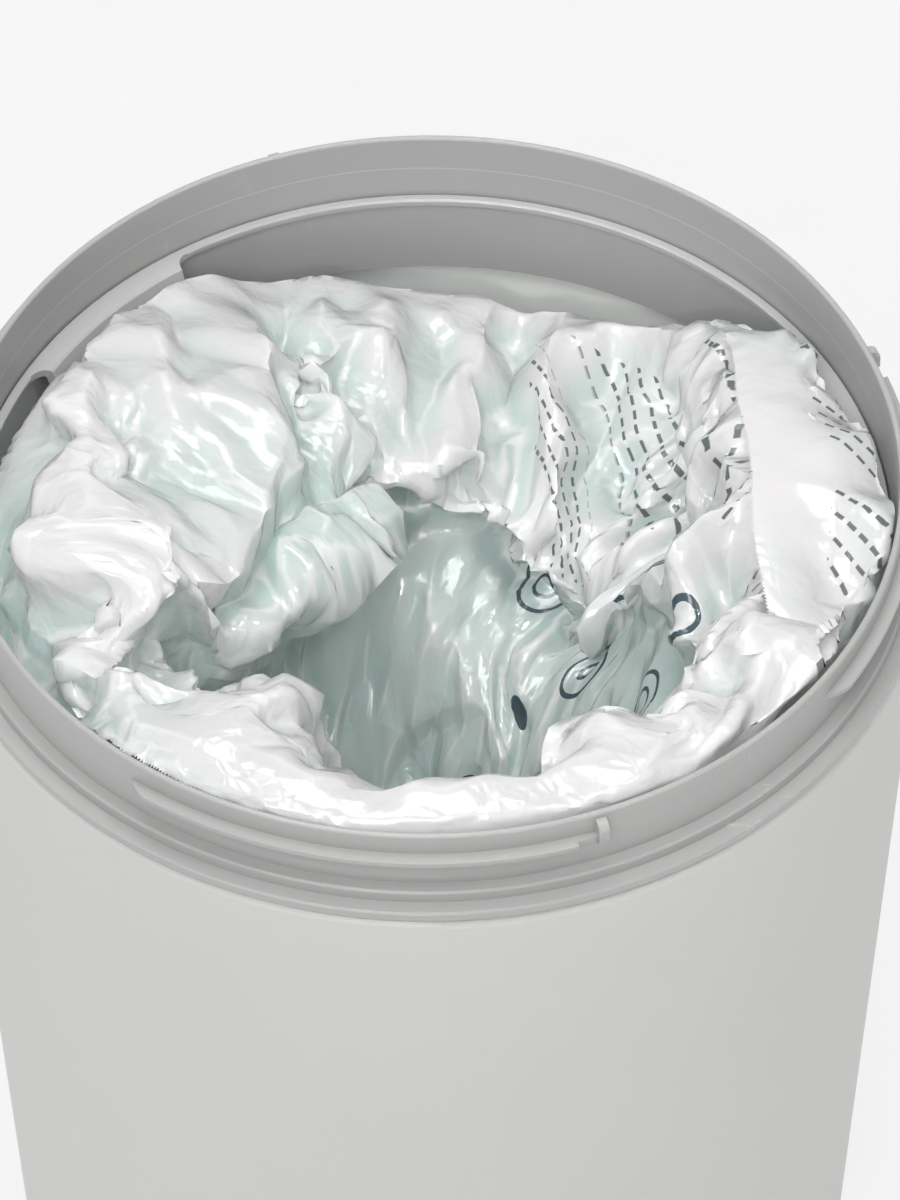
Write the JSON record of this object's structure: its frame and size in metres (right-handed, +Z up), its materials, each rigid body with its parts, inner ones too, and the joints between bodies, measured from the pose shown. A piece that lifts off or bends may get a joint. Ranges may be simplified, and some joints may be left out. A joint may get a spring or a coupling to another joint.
{
  "type": "nappy bin",
  "caption": "Tapered round nappy bin with its lid unit off: tub, bayonet locking collar with seal, lift-out film ring and a knotted bag of thin film.",
  "frame": {"origin": "middle of the face the tub stands on, at the bottom centre of the part", "axes": "+Z up along the tub's axis, -Y towards the camera of the picture, +X to its right"},
  "size_m": [0.25, 0.25, 0.3],
  "materials": {
    "tub": "satin light grey polypropylene",
    "seal": "matt dark grey",
    "collar": "satin mid grey polypropylene",
    "film_ring": "satin mid grey polypropylene",
    "film": "glossy white polythene film with a pale mint cast"
  },
  "bodies": {
    "tub": {"tub_body": "tub", "collar_seal": "seal", "collar_ring": "collar"},
    "film_ring": {"film_ring": "film_ring"},
    "film_bag": {"film_bag": "film"}
  },
  "joints": [
    {"name": "ring_lift", "type": "slide", "parent": "tub", "child": "film_ring", "axis": [0, 0, 1], "range_m": [0, 0.3]},
    {"name": "bag_lift", "type": "slide", "parent": "film_ring", "child": "film_bag", "axis": [0, 0, 1], "range_m": [0, 0.28]}
  ]
}
